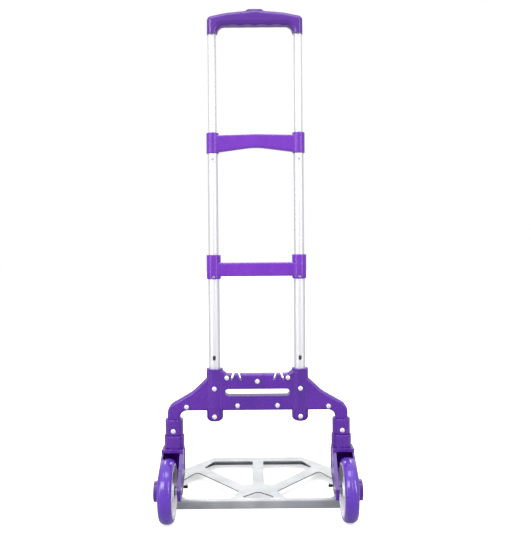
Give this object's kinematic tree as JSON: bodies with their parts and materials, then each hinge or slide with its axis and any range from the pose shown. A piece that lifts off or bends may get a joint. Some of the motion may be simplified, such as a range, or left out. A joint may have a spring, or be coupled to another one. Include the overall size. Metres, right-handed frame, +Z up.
{
  "type": "folding luggage cart",
  "caption": "Folding luggage cart: telescopic twin-tube handle on a riveted moulded crossmember, swivelling wheel forks and a toe plate that folds up.",
  "frame": {"origin": "on the floor, at the centre of the footprint of the opened cart", "axes": "+X to the right seen from behind the wheels, +Y from the wheels towards the toe plate's far edge, +Z up"},
  "size_m": [0.385, 0.392, 0.9539],
  "materials": {
    "upper_plastic": "glossy moulded ABS, violet",
    "frame_plastic": "glossy moulded ABS, deep violet",
    "satin_aluminium": "satin anodised tube",
    "plate_aluminium": "pressed sheet, satin",
    "rivet_aluminium": "bright rivet heads",
    "guide_plastic": "grey acetal",
    "zinc_steel": "zinc plated",
    "dark_steel": "black oxide",
    "tyre_plastic": "glossy polyurethane tread",
    "rim_plastic": "white moulded rim"
  },
  "bodies": {
    "frame": {"crossmember_rear": "frame_plastic", "crossmember_front": "frame_plastic", "crossmember_rivets": "rivet_aluminium", "tube_rivets": "rivet_aluminium", "mid_bracket": "upper_plastic", "sleeve_rivets": "rivet_aluminium", "outer_tube_left": "satin_aluminium", "outer_tube_right": "satin_aluminium", "mid_guide_bush_left": "guide_plastic", "mid_guide_bush_right": "guide_plastic", "sleeve_left": "frame_plastic", "sleeve_right": "frame_plastic", "kingpin_left": "zinc_steel", "kingpin_right": "zinc_steel", "hinge_bracket_left": "zinc_steel", "hinge_bracket_right": "zinc_steel"},
    "middle_stage": {"upper_bracket": "upper_plastic", "middle_tube_left": "satin_aluminium", "middle_tube_right": "satin_aluminium", "upper_guide_bush_left": "guide_plastic", "upper_guide_bush_right": "guide_plastic", "middle_foot_bush_left": "guide_plastic", "middle_foot_bush_right": "guide_plastic"},
    "upper_stage": {"grip_rear": "upper_plastic", "grip_front": "upper_plastic", "grip_pins": "dark_steel", "grip_screws": "dark_steel", "upper_tube_left": "satin_aluminium", "upper_tube_right": "satin_aluminium", "upper_foot_bush_left": "guide_plastic", "upper_foot_bush_right": "guide_plastic"},
    "release": {"release_button": "upper_plastic", "release_yoke": "guide_plastic", "release_rod_left": "zinc_steel", "release_rod_right": "zinc_steel"},
    "toe_plate": {"toe_plate": "plate_aluminium", "lug_rivets": "rivet_aluminium", "plate_lug_left": "plate_aluminium", "plate_lug_right": "plate_aluminium", "hinge_pin_left": "dark_steel", "hinge_pin_right": "dark_steel"},
    "middle_pin_left": {"middle_lock_pin_left": "zinc_steel"},
    "upper_pin_left": {"upper_lock_pin_left": "zinc_steel"},
    "fork_left": {"fork_left": "frame_plastic", "axle_left": "zinc_steel"},
    "wheel_left": {"tyre_left": "tyre_plastic", "rim_left": "rim_plastic", "wheel_bush_left": "guide_plastic"},
    "middle_pin_right": {"middle_lock_pin_right": "zinc_steel"},
    "upper_pin_right": {"upper_lock_pin_right": "zinc_steel"},
    "fork_right": {"fork_right": "frame_plastic", "axle_right": "zinc_steel"},
    "wheel_right": {"tyre_right": "tyre_plastic", "rim_right": "rim_plastic", "wheel_bush_right": "guide_plastic"}
  },
  "joints": [
    {"name": "middle_slide", "type": "slide", "parent": "frame", "child": "middle_stage", "axis": [0, 0, 1], "range_m": [-0.191, 0]},
    {"name": "upper_slide", "type": "slide", "parent": "middle_stage", "child": "upper_stage", "axis": [0, 0, 1], "range_m": [-0.184, 0]},
    {"name": "release_press", "type": "slide", "parent": "upper_stage", "child": "release", "axis": [0, 0, -1], "range_m": [0, 0.005], "stiffness_N_per_m": 800, "springref_m": -0.004},
    {"name": "toe_plate_fold", "type": "hinge", "parent": "frame", "child": "toe_plate", "pos_m": [0, -0.047, 0.034], "axis": [1, 0, 0], "range_deg": [0, 90]},
    {"name": "upper_pin_left_slide", "type": "slide", "parent": "upper_stage", "child": "upper_pin_left", "axis": [0, 1, 0], "range_m": [0, 0.002]},
    {"name": "middle_pin_left_slide", "type": "slide", "parent": "middle_stage", "child": "middle_pin_left", "axis": [0, 1, 0], "range_m": [0, 0.002], "stiffness_N_per_m": 500, "springref_m": -0.002},
    {"name": "fork_left_swivel", "type": "hinge", "parent": "frame", "child": "fork_left", "pos_m": [-0.16, -0.083, 0.13], "axis": [0, 0, 1], "range_deg": [0, 90]},
    {"name": "wheel_left_spin", "type": "hinge", "parent": "fork_left", "child": "wheel_left", "pos_m": [-0.1666, -0.138, 0.058], "axis": [1, 0, 0], "continuous": true},
    {"name": "upper_pin_right_slide", "type": "slide", "parent": "upper_stage", "child": "upper_pin_right", "axis": [0, 1, 0], "range_m": [0, 0.002]},
    {"name": "middle_pin_right_slide", "type": "slide", "parent": "middle_stage", "child": "middle_pin_right", "axis": [0, 1, 0], "range_m": [0, 0.002], "stiffness_N_per_m": 500, "springref_m": -0.002},
    {"name": "fork_right_swivel", "type": "hinge", "parent": "frame", "child": "fork_right", "pos_m": [0.16, -0.083, 0.13], "axis": [0, 0, 1], "range_deg": [-90, 0]},
    {"name": "wheel_right_spin", "type": "hinge", "parent": "fork_right", "child": "wheel_right", "pos_m": [0.1666, -0.138, 0.058], "axis": [1, 0, 0], "continuous": true}
  ],
  "couplings": [
    {"joint": "upper_pin_left_slide", "follows": "release_press", "ratio": 0.4},
    {"joint": "fork_left_swivel", "follows": "toe_plate_fold", "ratio": 1},
    {"joint": "upper_pin_right_slide", "follows": "release_press", "ratio": 0.4},
    {"joint": "fork_right_swivel", "follows": "toe_plate_fold", "ratio": -1}
  ]
}
